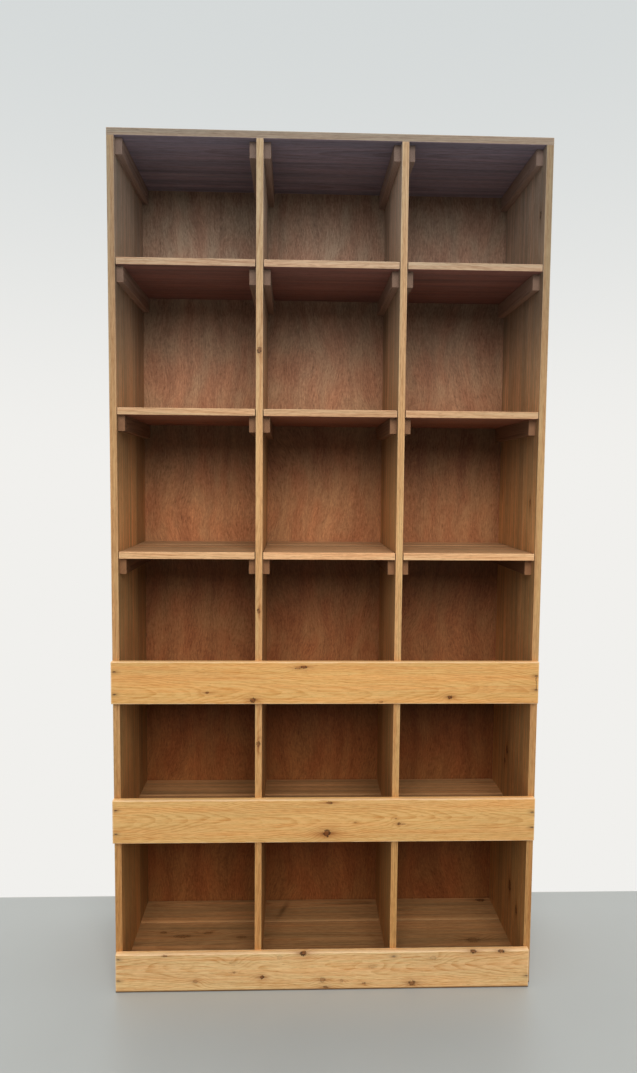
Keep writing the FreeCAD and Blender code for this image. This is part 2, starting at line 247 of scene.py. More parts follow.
# Patterns in the pine: sizes of the spots along, across and through the board, detail, roughness
PINE_NOISE = {
    "wander": ((0.30, 4.0, 4.0), 2.0, 0.5),
    "waves": ((0.10, 0.03, 0.03), 3.0, 0.5),
    "drift": ((0.45, 2.0, 2.0), 1.0, 0.5),
    "streaks": ((0.16, 0.0045, 0.0045), 3.0, 0.6),
    "bands": ((0.7, 0.014, 0.014), 3.0, 0.6),
    "dashes": ((0.024, 0.0020, 0.0020), 2.0, 0.6),
    "fibres": ((0.022, 0.0009, 0.0009), 2.0, 0.5),
    "clouds": ((0.4, 0.05, 0.05), 2.0, 0.5),
    "ducts": ((0.014, 0.0013, 0.0013), 1.0, 0.5),
}
PLAIN_FIGURE = 0.12            # how lively the rings run, in most boards and in the rails
BOLD_FIGURE = 1.0

# Growth rings of the pine
RING_SPACING = 0.0034
RING_WANDER = 0.05             # how far the boldest rings stray, in slow, short and long waves
RING_WAVES = 0.006
RING_DRIFT = 0.03
LATEWOOD_RISE = (0.35, 0.9)    # shares of a ring between which its dark wood grows and then breaks off
LATEWOOD_FALL = (1.0, 0.94)
PALEST_RING = 0.35             # strength of the weakest ring
SEED_RANGE = 10.0              # a board's chance numbers run from 0 to this
# A board's pith, per unit of its chance numbers: place aside of the middle, depth below it and slope
PITH_ACROSS = 0.016
PITH_DEPTH = (0.03, 0.006)     # the least depth, and its rise
PITH_SLOPE = 0.0055

# Strength of the patterns in the pine's colour, light, hue, relief and gloss
GRAIN_DARKNESS = 0.15
LATEWOOD_DARKNESS = 0.46
STREAK_DARKNESS = 1.1
DASH_DARKNESS = 1.5
CLOUD_LIGHT = 0.35
FIBRE_LIGHT = 0.4
STREAK_HUE = 0.6
HUE_TURN = (0.3, 0.7)
DUCT_EDGE = (0.64, 0.74)
DUCT_SHARE = 0.4
DUCT_SHADE = 0.6
BAND_SHADE = 1.4
STREAK_SHADE = 0.8
LATEWOOD_RELIEF = 0.15
FIBRE_RELIEF = 0.5
KNOT_RELIEF = 0.6
DUCT_RELIEF = 0.5
PINE_RELIEF = 0.00018
PINE_ROUGHNESS = 0.56
STREAK_ROUGHNESS = 0.25
LATEWOOD_GLOSS = 0.06
PINE_SPECULAR = 0.2

# A knot, in radii: its core's edge, the middle and width of its bark ring, and how far its tails, the
# resin round it and the turned grain reach along and across the grain
KNOT_CORE = (1.05, 0.75)
KNOT_RIM = (0.85, 0.3)
KNOT_TAILS = (2.4, 0.7)
KNOT_HALO = (4.0, 2.2)
KNOT_PUSH = (4.5, 2.4)
KNOT_TURN = 1.5                # how strongly it turns the grain
KNOT_WOBBLE = (0.0035, 2.0)    # size and detail of its uneven outline
KNOT_STRAY = 1.3
KNOT_RAGGED = (0.0045, 3.0, 0.65)
FEATHER_STREAKS = 0.5          # how its dark wood frays along the fibres
FEATHER_EDGE = (0.35, 0.6)
HALO_SHARE = (0.15, 0.45)      # a share's least value and its rise
TAIL_SHARE = 0.85
CORE_SHARE = (0.5, 0.5)
BARK_EDGE = (0.35, 0.6)
# Knots at chance places: about one in each cell of this size, of which some show
KNOT_CELL = (0.46, 0.125)
CHANCE_KNOT = (0.7, 0.8)
CHANCE_RADIUS = (0.0015, 0.005)
CHANCE_STRETCH = 1.3
CHANCE_DEPTH = 0.8

# Pale arrises, partly wear and partly painted highlight: how far they reach, their uneven edge and strength,
# more in bold figure
PALE_ARRIS_REACH = (0.003, 0.0004)
PALE_ARRIS_PATCHES = (0.03, 3.0)
PALE_ARRIS_STRAY = 0.004
PALE_ARRIS_SHARE = (0.15, 0.4)
LIP_HIGHLIGHT_WIDTH = (0.013, 0.003)      # painted highlight: width of the pale strip along the front of an upper face, with its soft edge
LIP_HIGHLIGHT_SHARE = (0.30, 0.15)
LIP_HIGHLIGHT_GAIN = 0.4
KNOT_HARDNESS = 0.95           # how far knots keep their colour there

# Sawn battens: sizes of the patterns along X, Y, Z, their detail and roughness, and their strength
BATTEN_NOISE = {
    "bends": ((0.03, 0.2, 0.03), 2.0, 0.5),
    "streaks": ((0.004, 0.12, 0.004), 3.0, 0.6),
    "fibres": ((0.0007, 0.02, 0.0007), 2.0, 0.5),
    "saw": ((0.05, 0.0014, 0.05), 1.0, 0.5),
}
BATTEN_RING = 0.0029
BATTEN_SLANT = 6.0             # radians over which the rings' chance slant spreads
BATTEN_SHIFT = 7.0             # rings over which their chance place spreads
BATTEN_BEND = 1.6
BATTEN_LATEWOOD_RISE = (0.3, 0.9)
BATTEN_LATEWOOD_FALL = (1.0, 0.93)
BATTEN_DARKNESS = 0.55
BATTEN_LIGHT = {"streaks": 0.5, "fibres": 0.3, "saw": 0.12}
BATTEN_SPREAD = 0.2            # how much battens differ in light
SIDE_DARKENING = 0.36          # of a batten's long sides
DARKENING_LOST = 0.8           # share of it that greying takes away
BATTEN_ROUGHNESS = (0.68, 0.2)
BATTEN_BUMPS = {"latewood": 0.4, "fibres": 0.5, "saw": 0.6}
BATTEN_RELIEF = 0.0002
BATTEN_SPECULAR = 0.15

# Plywood, in the same terms
PLYWOOD_LEAN = ((0.16, 1.0, 0.30), 1.0)
LEAN_STRAY = 0.12
PLYWOOD_NOISE = {
    "bands": ((0.032, 1.0, 0.5), 2.0, 0.5),
    "patches": ((0.05, 1.0, 0.11), 2.0, 0.5),
    "grain": ((0.0030, 1.0, 0.032), 3.0, 0.65),
    "flecks": ((0.0040, 1.0, 0.0095), 2.0, 0.7),
    "fine": ((0.0013, 1.0, 0.014), 2.0, 0.6),
    "pores": ((0.0016, 1.0, 0.014), 1.0, 0.5),
}
PLYWOOD_TONES = {"bands": 0.6, "patches": 0.4, "grain": 0.8, "flecks": 0.7}
PATCH_TURN = (0.3, 0.7)
PORE_EDGE = (0.60, 0.72)
PORE_DARKNESS = 0.35
FINE_LIGHT = 0.6
REAR_SHADE = 0.8
GRAIN_RELIEF = 0.6
PLYWOOD_RELIEF = 0.00012
PLYWOOD_ROUGHNESS = (0.6, 0.2)
PLYWOOD_SPECULAR = 0.15

# Nails: size and detail of the rust spots, where rust sets in, and their gloss
RUST_SPOTS = (0.0016, 3.0)
RUST_EDGE = (0.4, 0.6)
STEEL_ROUGHNESS = (0.6, 0.25)
STEEL_SPECULAR = 0.15


def srgb(red, green, blue):
    """A colour written in 8-bit screen values, as linear RGBA."""
    linear = []
    for value in (red, green, blue):
        share = value / 255
        linear.append(share / 12.92 if share <= 0.04045 else ((share + 0.055) / 1.055) ** 2.4)
    return (*linear, 1.0)


def swing(noise, amount):
    """Noise moved to lie about 0 and scaled."""
    return (noise - 0.5) * amount


def rising(signal, least, rise):
    """A number that grows from the least value as the signal grows from 0."""
    return signal * rise + least


class Signal:
    """A number, vector or colour that varies over a surface: a node's output, with arithmetic on numbers."""

    def __init__(self, graph, socket):
        self.graph = graph
        self.socket = socket

    def __add__(self, other):
        return self.graph.math("ADD", self, other)

    def __sub__(self, other):
        return self.graph.math("SUBTRACT", self, other)

    def __rsub__(self, other):
        return self.graph.math("SUBTRACT", other, self)

    def __mul__(self, other):
        return self.graph.math("MULTIPLY", self, other)

    def __truediv__(self, other):
        return self.graph.math("DIVIDE", self, other)

    __radd__ = __add__
    __rmul__ = __mul__


class Graph:
    """A node tree that is written as formulas: each call adds a node and returns its output."""

    def __init__(self, tree):
        self.tree = tree
        tree.nodes.clear()

    def node(self, kind, inputs=None, **settings):
        made = self.tree.nodes.new(kind)
        for name, value in settings.items():
            setattr(made, name, value)
        for name, value in (inputs or {}).items():
            self.feed(made.inputs[name], value)
        return made

    def feed(self, socket, value):
        if isinstance(value, Signal):
            self.tree.links.new(value.socket, socket)
        elif socket.type == "VECTOR":
            socket.default_value = value[:3]
        else:
            socket.default_value = value

    def output(self, node, name):
        return Signal(self, node.outputs[name])

    def math(self, operation, *values):
        made = self.node("ShaderNodeMath", dict(enumerate(values)), operation=operation)
        return self.output(made, 0)

    def vector_math(self, operation, *values):
        made = self.node("ShaderNodeVectorMath", dict(enumerate(values)), operation=operation)
        return self.output(made, 0)

    def largest(self, first, *others):
        for other in others:
            first = self.math("MAXIMUM", first, other)
        return first

    def squares(self, values):
        """The sum of the values' squares."""
        total = values[0] * values[0]
        for value in values[1:]:
            total = total + value * value
        return total

    def length(self, *values):
        """The length of a vector with these parts."""
        return self.math("SQRT", self.squares(values))

    def bell(self, *values):
        """1 where all the values are 0, falling smoothly to 0 where one of them passes about 2."""
        return self.math("EXPONENT", self.squares(values) * -1.0)

    def step(self, value, start, end):
        """A smooth step from 0 at start to 1 at end."""
        made = self.node(
            "ShaderNodeMapRange", {"Value": value, "From Min": start, "From Max": end},
            interpolation_type="SMOOTHSTEP")
        return self.output(made, "Result")

    def parts(self, vector):
        made = self.node("ShaderNodeSeparateXYZ", {"Vector": vector})
        return [Signal(self, output) for output in made.outputs]

    def vector(self, x, y, z):
        return self.output(self.node("ShaderNodeCombineXYZ", {"X": x, "Y": y, "Z": z}), 0)

    def place(self):
        """The point of the surface in the frame of the bookcase."""
        return self.output(self.node("ShaderNodeTexCoord"), "Object")

    def normal(self):
        return self.output(self.node("ShaderNodeTexCoord"), "Normal")

    def attribute(self, name):
        """A vector that each object holds under this name."""
        made = self.node("ShaderNodeAttribute", attribute_type="OBJECT", attribute_name=name)
        return self.output(made, "Vector")

    def noise(self, place, sizes, detail=2.0, roughness=0.5):
        """Cloudy noise around 0.5, with spots of about these sizes, or of one size every way."""
        if not isinstance(sizes, tuple):
            sizes = (sizes, sizes, sizes)
        scaled = self.vector_math("DIVIDE", place, sizes)
        made = self.node(
            "ShaderNodeTexNoise", {"Vector": scaled, "Scale": 1.0, "Detail": detail, "Roughness": roughness})
        return self.output(made, "Fac")

    def chance(self, value):
        """A random number from 0 to 1 for each value."""
        made = self.node("ShaderNodeTexWhiteNoise", {"W": value}, noise_dimensions="1D")
        return self.output(made, "Value")

    def mix(self, factor, first, second):
        """A colour between two, by the factor."""
        made = self.node("ShaderNodeMix", data_type="RGBA")
        for index, value in ((0, factor), (6, first), (7, second)):
            self.feed(made.inputs[index], value)
        return self.output(made, 2)

    def tinted(self, colour, tint):
        return self.vector_math("MULTIPLY", colour, tint)

    def scaled(self, colour, factor):
        """A colour times a number."""
        made = self.node("ShaderNodeVectorMath", {0: colour, "Scale": factor}, operation="SCALE")
        return self.output(made, 0)

    def bump(self, height, distance):
        made = self.node("ShaderNodeBump", {"Height": height, "Distance": distance, "Strength": 1.0})
        return self.output(made, 0)

    def surface(self, shader):
        output = self.node("ShaderNodeOutputMaterial")
        self.tree.links.new(shader.outputs[0], output.inputs["Surface"])


class Board:
    """A board as its material sees it: where a point lies in it, which way its face looks, its patterns."""

    def __init__(self, graph, axes):
        self.graph = graph
        self.grain_axis = axes[0]
        self.place = graph.place()
        xyz = graph.parts(self.place)
        self.x, _, self.z = xyz
        self.low, self.high, seed, tone = [
            graph.attribute(key) for key in ("board_low", "board_high", "board_seed", "board_tone")]
        self.seeds = graph.parts(seed)
        self.edge_tone, self.face_tone, self.end_tone = graph.parts(tone)
        middle = graph.parts(graph.scaled(graph.vector_math("ADD", self.low, self.high), 0.5))
        self.along, self.across, self.through = [xyz[axis] - middle[axis] for axis in axes]
        inside = graph.vector_math("ADD", graph.vector(self.along, self.across, self.through), seed)
        self.noise = {name: graph.noise(inside, *sizes) for name, sizes in PINE_NOISE.items()}
        self.ducts = graph.step(self.noise["ducts"], *DUCT_EDGE)
        self.wobble = swing(graph.noise(self.place, *KNOT_WOBBLE), KNOT_STRAY)
        facing = graph.parts(graph.normal())
        self.front = graph.step(facing[1], *FACING_MINUS)
        self.upward = graph.step(facing[2], *FACING_PLUS)
        self.downward = graph.step(facing[2], *FACING_MINUS)
        self.end = end_grain(graph, self.grain_axis)


def new_material(name):
    material = bpy.data.materials.new(name)
    material.use_nodes = True
    return material, Graph(material.node_tree)


def end_grain(graph, axis):
    """1 on faces cut across the grain, which runs along the axis."""
    facing = graph.math("ABSOLUTE", graph.parts(graph.normal())[axis])
    return graph.step(facing, *FACING_EITHER)


def tinted_by_height(graph, colour, height, *changes):
    """A colour tinted by height: each change is the heights between which it sets in, and a tint."""
    for heights, tint in changes:
        colour = graph.tinted(colour, graph.mix(graph.step(height, *heights), WHITE, tint))
    return colour


def painted_shelf_shade(graph, height, shades):
    """How dark the painted shade under the top and under each shelf is, by height and row."""
    boards = ["top_front_board"] + [f"shelf_{level}_left_front_board" for level in range(1, 6)]
    total = 0.0
    for board, shade in zip(boards, shades):
        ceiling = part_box(board)[0][2]
        near = graph.step(height, ceiling - SHELF_SHADE_DROP, ceiling)
        below = graph.step(height, ceiling + SHADE_EDGE, ceiling)
        total = near * below * shade + total
    return total


def knot_field(graph, along, across, radius, stretch, depth, wobble, turn=1.0):
    """How a knot turns the grain aside, and masks of its core, its rim, its tails and the wood round it."""
    squeezed = along / stretch
    distance = graph.length(squeezed, across) / radius + wobble

    def spread(reach, stray=None):
        aside = across / (radius * reach[1])
        return graph.bell(squeezed / (radius * reach[0]), aside if stray is None else aside + stray)

    return {
        "core": graph.step(distance, *KNOT_CORE) * depth,
        "rim": graph.bell((distance - KNOT_RIM[0]) / KNOT_RIM[1]) * depth,
        "tails": spread(KNOT_TAILS, wobble) * depth,
        "halo": spread(KNOT_HALO) * depth,
        "push": spread(KNOT_PUSH) * radius * turn,
    }


def scattered_knots(board):
    """A few knots of chance size and place on every board."""
    graph = board.graph
    cell_along, cell_across = KNOT_CELL
    scaled_along = board.along / cell_along + board.seeds[0]
    scaled_across = board.across / cell_across + board.seeds[0]
    cells = graph.node(
        "ShaderNodeTexVoronoi", {"Vector": graph.vector(scaled_along, scaled_across, 0.0), "Scale": 1.0},
        voronoi_dimensions="2D")
    centre_along, centre_across, _ = graph.parts(graph.output(cells, "Position"))
    red, green, _ = graph.parts(graph.output(cells, "Color"))
    offset_along = (scaled_along - centre_along) * cell_along
    offset_across = (scaled_across - centre_across) * cell_across
    radius = rising(red, *CHANCE_RADIUS)
    chosen = graph.step(green, *CHANCE_KNOT)
    return knot_field(
        graph, offset_along, offset_across, radius, CHANCE_STRETCH, chosen * CHANCE_DEPTH, board.wobble,
        turn=chosen)


def board_knots(board, knots, scattered):
    """The knots at given places and those at chance places, as one field."""
    graph = board.graph
    fields = []
    for *centre, radius, stretch, depth in knots:
        offset = graph.parts(graph.vector_math("SUBTRACT", board.place, centre))
        along = offset.pop(board.grain_axis)
        across = graph.length(*offset)
        fields.append(knot_field(graph, along, across, radius, stretch, depth, board.wobble))
    if scattered:
        fields.append(scattered_knots(board))
    total = fields[0]
    for field in fields[1:]:
        total["push"] = total["push"] + field["push"]
        for mask in ("core", "rim", "tails", "halo"):
            total[mask] = graph.largest(total[mask], field[mask])
    return total


def growth_rings(board, pith, figure, push):
    """How dark the rings' latewood is, about the pith that is given or one at a chance place."""
    graph = board.graph
    chance_slope, chance_across, chance_depth = board.seeds
    if pith is None:
        pith = (
            (chance_across - SEED_RANGE / 2) * PITH_ACROSS, rising(chance_depth, *PITH_DEPTH),
            (chance_slope - SEED_RANGE / 2) * PITH_SLOPE)
    pith_across, pith_depth, slope = pith
    wander = swing(board.noise["wander"], figure * RING_WANDER)
    waves = swing(board.noise["waves"], figure * RING_WAVES)
    drift = swing(board.noise["drift"], figure * RING_DRIFT)
    radius = graph.length(board.across - wander - pith_across, board.through + pith_depth)
    rings = (radius + board.along * slope + drift + waves + push * KNOT_TURN) / RING_SPACING
    phase = graph.math("FRACT", rings)
    ring = graph.math("FLOOR", rings)
    strength = rising(graph.chance(ring + board.seeds[0]), PALEST_RING, 1.0 - PALEST_RING)
    return graph.step(phase, *LATEWOOD_RISE) * graph.step(phase, *LATEWOOD_FALL) * strength


def grain_colour(board, early, late, latewood):
    """Streaks and fibres along the grain, and broad shades of colour."""
    graph = board.graph
    streaks, dashes = board.noise["streaks"], board.noise["dashes"]
    grain = latewood * LATEWOOD_DARKNESS + swing(streaks, STREAK_DARKNESS) + swing(dashes, DASH_DARKNESS)
    colour = graph.mix(graph.math("MAXIMUM", grain + GRAIN_DARKNESS, 0.0), early, late)
    turn = graph.step(board.noise["bands"] + swing(streaks, STREAK_HUE), *HUE_TURN)
    colour = graph.tinted(colour, graph.mix(turn, YELLOW_STREAK, RED_STREAK))
    light = swing(board.noise["clouds"], CLOUD_LIGHT) + swing(board.noise["fibres"], FIBRE_LIGHT) + 1.0
    colour = graph.scaled(colour, light)
    return graph.mix(board.ducts * DUCT_SHARE, colour, graph.scaled(late, DUCT_SHADE))


def with_knots(board, colour, field):
    """Resin round the knots, dark wood that frays along the fibres, and a ring of bark."""
    graph = board.graph
    frayed = board.noise["fibres"] + swing(board.noise["streaks"], FEATHER_STREAKS)
    feather = graph.step(frayed, *FEATHER_EDGE)
    ragged = graph.noise(board.place, *KNOT_RAGGED)
    colour = graph.mix(field["halo"] * rising(feather, *HALO_SHARE), colour, srgb(*KNOT_RESIN))
    colour = graph.mix(field["tails"] * feather * TAIL_SHARE, colour, srgb(*KNOT_HEART))
    colour = graph.mix(field["core"] * rising(ragged, *CORE_SHARE), colour, srgb(*KNOT_HEART))
    return graph.mix(field["rim"] * graph.step(ragged, *BARK_EDGE), colour, srgb(*KNOT_BARK))


def nail_mask(board, nail):
    """The dark slit of a nail's head in a rail's face, with rust round it."""
    graph = board.graph
    aside = board.x - nail[0]
    above = board.z - nail[1]
    ragged = above + board.wobble * NAIL_SLIT_RAGGED
    slit = graph.bell(aside / NAIL_SLIT[0], ragged / NAIL_SLIT[1]) * NAIL_SLIT_SHARE
    rust = graph.bell(aside / NAIL_RUST[0], above / NAIL_RUST[1]) * NAIL_RUST_SHARE
    return graph.largest(slit, rust)


def split_mask(board, split):
    """A thin crooked line up a rail's face."""
    graph = board.graph
    middle, low, high = split
    crook = swing(graph.noise(board.place, *SPLIT_CROOK), SPLIT_STRAY)
    above = graph.step(board.z, low - SPLIT_TIP, low + SPLIT_TIP)
    below = graph.step(board.z, high + SPLIT_TIP, high - SPLIT_TIP)
    return graph.bell((board.x + crook - middle) / SPLIT_WIDTH) * (above * below) * SPLIT_SHARE


def stain_mask(board, stain):
    """A long smear on a shelf's upper face."""
    graph = board.graph
    (middle_x, middle_y), half_length, (way_x, way_y) = stain
    x, y, z = graph.parts(board.place)
    along = (x - middle_x) * way_x + (y - middle_y) * way_y
    across = (x - middle_x) * way_y - (y - middle_y) * way_x
    ragged = swing(graph.noise(board.place, *STAIN_RAGGED), STAIN_STRAY)
    level = (z - STAIN_LEVEL[0]) / STAIN_LEVEL[1]
    return graph.bell(along / half_length, across / STAIN_WIDTH + ragged, level) * STAIN_SHARE


def worn_and_highlit(board, colour, field, aged_and_shaded, figure):
    """Arrises partly worn, partly painted highlight, and a painted highlight at upper faces' fronts: the
    second smallest distance to the faces is that to the nearest edge.
    """
    graph = board.graph
    from_low = graph.vector_math("SUBTRACT", board.place, board.low)
    from_high = graph.vector_math("SUBTRACT", board.high, board.place)
    gaps = graph.parts(graph.vector_math("MINIMUM", from_low, from_high))
    lesser = graph.math("MINIMUM", gaps[0], gaps[1])
    greater = graph.math("MAXIMUM", gaps[0], gaps[1])
    edge = graph.largest(lesser, graph.math("MINIMUM", greater, gaps[2]))
    uneven = swing(graph.noise(board.place, *PALE_ARRIS_PATCHES), PALE_ARRIS_STRAY)
    pale_arris = graph.step(edge + uneven, *PALE_ARRIS_REACH)
    lip_highlight = board.upward * graph.step(graph.parts(from_low)[1], *LIP_HIGHLIGHT_WIDTH)
    bare = 1.0 - graph.largest(field["core"], field["rim"], field["tails"]) * KNOT_HARDNESS
    pale = graph.largest(pale_arris * rising(figure, *PALE_ARRIS_SHARE), lip_highlight * rising(figure, *LIP_HIGHLIGHT_SHARE))
    colour = graph.mix(pale * bare, colour, srgb(*(WORN_AND_HIGHLIT_ARRIS if aged_and_shaded else RAIL_ARRIS_HIGHLIGHT)))
    return graph.scaled(colour, rising(lip_highlight, 1.0, LIP_HIGHLIGHT_GAIN)) if aged_and_shaded else colour


def dimmed(board, shades):
    """How light a board's faces are: streaky, darker near the floor, and in painted shade under top and
    shelves.
    """
    graph = board.graph
    light = swing(board.noise["bands"], BAND_SHADE) + swing(board.noise["streaks"], STREAK_SHADE) + 1.0
    light = light * (1.0 - graph.step(board.z, *BROWNED) * FACE_DIMMING)
    if shades:
        inner = graph.step(graph.math("ABSOLUTE", board.x), CASE_HALF + SHADE_EDGE, CASE_HALF)
        light = light * (1.0 - inner * painted_shelf_shade(graph, board.z, shades))
    return light


def shaded(board, colour, underside_shade, shades, aged_and_shaded):
    """The board's own tone with painted light and shade on edges, faces, undersides and foot, and tints by
    height.
    """
    graph = board.graph
    greyed = graph.step(board.z, *GREYED)
    faces = (1.0 - board.front) * board.face_tone
    if aged_and_shaded:
        faces = faces * dimmed(board, shades)
    shade = (board.front * board.edge_tone + faces) * (1.0 - greyed * (1.0 - board.end_tone))
    colour = graph.scaled(colour, shade * (1.0 - board.end * END_DARKENING))
    colour = graph.tinted(colour, graph.mix(board.downward, WHITE, underside_shade))
    if aged_and_shaded:
        colour = tinted_by_height(graph, colour, board.z, (GREYED, GREY_PINE), (BROWNED, BROWN_PINE))
        dull = (1.0 - board.front) * (1.0 - board.upward) * (1.0 - board.end)
        colour = graph.tinted(colour, graph.mix(dull * greyed, WHITE, GREY_FACE))
    # painted contact shadow along the foot
    return graph.mix(graph.step(board.z, *FOOT_SHADOW) * FOOT_SHADOW_SHARE, colour, srgb(*STAIN_AND_FOOT_SHADOW))


def pine(name, axes, colours, pith=None, knots=(), nails=(), split=None, stain=None, underside_shade=WHITE,
         shades=(), aged_and_shaded=True, figure=PLAIN_FIGURE):
    """Planed pine: rings about a pith below the face, streaks, knots, stains, arrises partly worn and partly
    painted highlight, painted light and shade, tints by height.
    """
    material, graph = new_material(name)
    early, late = [srgb(*colour) for colour in colours]
    board = Board(graph, axes)
    field = board_knots(board, knots, aged_and_shaded)
    latewood = growth_rings(board, pith, figure, field["push"])
    colour = grain_colour(board, early, late, latewood)
    colour = with_knots(board, colour, field)
    marks = [nail_mask(board, nail) for nail in nails]
    if split:
        marks.append(split_mask(board, split))
    if stain:
        marks.append(stain_mask(board, stain))
    for mark in marks:
        colour = graph.mix(mark, colour, srgb(*STAIN_AND_FOOT_SHADOW))
    colour = worn_and_highlit(board, colour, field, aged_and_shaded, figure)
    colour = shaded(board, colour, underside_shade, shades, aged_and_shaded)
    height = latewood * LATEWOOD_RELIEF + board.noise["fibres"] * FIBRE_RELIEF
    height = height + field["core"] * KNOT_RELIEF - board.ducts * DUCT_RELIEF
    rough = swing(board.noise["streaks"], STREAK_ROUGHNESS) - latewood * LATEWOOD_GLOSS + PINE_ROUGHNESS
    shader = graph.node("ShaderNodeBsdfPrincipled", {
        "Base Color": colour,
        "Roughness": rough,
        "Normal": graph.bump(height, PINE_RELIEF),
        "Specular IOR Level": PINE_SPECULAR,
    })
    graph.surface(shader)
    return material


def batten(name, colours):
    """Sawn pine battens: straight rings at a chance slant on each, crossed by the saw."""
    material, graph = new_material(name)
    early, late = [srgb(*colour) for colour in colours]
    place = graph.place()
    x, _, z = graph.parts(place)
    noise = {key: graph.noise(place, *sizes) for key, sizes in BATTEN_NOISE.items()}
    island = graph.output(graph.node("ShaderNodeNewGeometry"), "Random Per Island")
    slant = island * BATTEN_SLANT
    rings = (x * graph.math("COSINE", slant) + z * graph.math("SINE", slant)) / BATTEN_RING
    rings = rings + swing(noise["bends"], BATTEN_BEND) + island * BATTEN_SHIFT
    phase = graph.math("FRACT", rings)
    latewood = graph.step(phase, *BATTEN_LATEWOOD_RISE) * graph.step(phase, *BATTEN_LATEWOOD_FALL)
    colour = graph.mix(latewood * BATTEN_DARKNESS, early, late)
    light = swing(island, BATTEN_SPREAD) + 1.0
    for key, amount in BATTEN_LIGHT.items():
        light = light + swing(noise[key], amount)
    sides = 1.0 - end_grain(graph, 1)
    greyed = graph.step(z, *GREYED)
    colour = graph.scaled(colour, light * (1.0 - sides * (1.0 - greyed * DARKENING_LOST) * SIDE_DARKENING))
    colour = tinted_by_height(graph, colour, z, (GREYED, GREY_PINE), (BROWNED, BROWN_PINE))
    grey = graph.mix(sides, GREY_BATTEN_END, GREY_BATTEN)
    colour = graph.tinted(colour, graph.mix(greyed, WHITE, grey))
    height = latewood * BATTEN_BUMPS["latewood"]
    for key in ("fibres", "saw"):
        height = height + noise[key] * BATTEN_BUMPS[key]
    rough, spread = BATTEN_ROUGHNESS
    shader = graph.node("ShaderNodeBsdfPrincipled", {
        "Base Color": colour,
        "Roughness": swing(noise["fibres"], spread) + rough,
        "Normal": graph.bump(height, BATTEN_RELIEF),
        "Specular IOR Level": BATTEN_SPECULAR,
    })
    graph.surface(shader)
    return material


def plywood(name, colours):
    """Red-brown plywood veneer: upright streaks, short flecks, faint bands and patches of hue, tints by
    height, and painted shade.
    """
    material, graph = new_material(name)
    pale, deep = [srgb(*colour) for colour in colours]
    place = graph.place()
    x, _, z = graph.parts(place)
    front = graph.step(graph.parts(graph.normal())[1], *FACING_MINUS)
    lean = swing(graph.noise(place, *PLYWOOD_LEAN), LEAN_STRAY)
    slanted = graph.vector_math("ADD", place, graph.vector(lean, 0.0, 0.0))
    noise = {key: graph.noise(slanted, *sizes) for key, sizes in PLYWOOD_NOISE.items()}
    pores = graph.step(noise["pores"], *PORE_EDGE)
    tone = 0.5
    for key, amount in PLYWOOD_TONES.items():
        tone = swing(noise[key], amount) + tone
    colour = graph.mix(graph.step(tone, 0.0, 1.0), deep, pale)
    hue = graph.mix(graph.step(noise["patches"], *PATCH_TURN), RED_PATCH, YELLOW_PATCH)
    colour = graph.tinted(colour, hue)
    colour = graph.scaled(colour, swing(noise["fine"], FINE_LIGHT) + 1.0 - pores * PORE_DARKNESS)
    # painted shade on the back's front face: towards the right, and under the top and each shelf
    right_shade = 1.0 - graph.step(x, *RIGHT_SHADE_SPAN) * RIGHT_SHADE_SHARE
    front_with_shade = graph.scaled(colour, right_shade * (1.0 - painted_shelf_shade(graph, z, PLYWOOD_SHADES)))
    front_with_shade = tinted_by_height(graph, front_with_shade, z, (GREYED, GREY_PLYWOOD), (DARKENED_AND_REDDENED, RED_AND_SHADED_PLYWOOD))
    rough, spread = PLYWOOD_ROUGHNESS
    shader = graph.node("ShaderNodeBsdfPrincipled", {
        "Base Color": graph.mix(front, graph.scaled(colour, REAR_SHADE), front_with_shade),
        "Roughness": swing(noise["bands"], spread) + rough,
        "Normal": graph.bump(noise["grain"] * GRAIN_RELIEF - pores, PLYWOOD_RELIEF),
        "Specular IOR Level": PLYWOOD_SPECULAR,
    })
    graph.surface(shader)
    return material


def nail_steel(name):
    """Dull wire, darkened by rust."""
    material, graph = new_material(name)
    rust = graph.step(graph.noise(graph.place(), *RUST_SPOTS), *RUST_EDGE)
    shader = graph.node("ShaderNodeBsdfPrincipled", {
        "Base Color": graph.mix(rust, srgb(*STEEL_COLOUR), srgb(*RUST_COLOUR)),
        "Metallic": 0.0,
        "Roughness": rising(rust, *STEEL_ROUGHNESS),
        "Specular IOR Level": STEEL_SPECULAR,
    })
    graph.surface(shader)
    return material


def nail_places(node):
    """Where along X and Z the nails of a group stand that are driven along Y."""
    groups = []
    for vertex in frame["nodes"][node].data.vertices:
        point = (vertex.co.x, vertex.co.z)
        near = [group for group in groups if math.dist(group[0], point) < NAIL_REACH]
        if near:
            near[0].append(point)
        else:
            groups.append([point])
    return [[(min(values) + max(values)) / 2 for values in zip(*group)] for group in groups]


def mark_board(node, slot):
    """Gives a board's object its corners, three chance numbers and its shades, which its material reads."""
    low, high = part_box(node)
    chance = random.Random(node)
    board = frame["nodes"][node]
    board["board_low"] = list(low)
    board["board_high"] = list(high)
    board["board_seed"] = [chance.uniform(0.0, SEED_RANGE) for _ in range(3)]
    shift = chance.uniform(*TONE_SPREAD)
    board["board_tone"] = [tone * shift for tone in BOARD_TONES.get(node, BOARD_TONES[slot])]


def rail_material(node):
    """A rail's own pine, with its knots and with stains round the nails that it shows."""
    low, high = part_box(node)
    return pine(
        "pine_" + node, GRAIN_ALONG_RAIL, (RAIL_COLOURS[node], RAIL_LATEWOOD),
        pith=RAIL_PITHS[node],
        knots=[(x, low[1], z, *form) for x, z, *form in RAIL_KNOTS[node]],
        nails=[(x, z) for x, z in nail_places("rail_nails") if low[2] < z < high[2]],
        split=RAIL_SPLIT if node == "upper_rail" else None,
        aged_and_shaded=False, figure=BOLD_FIGURE)


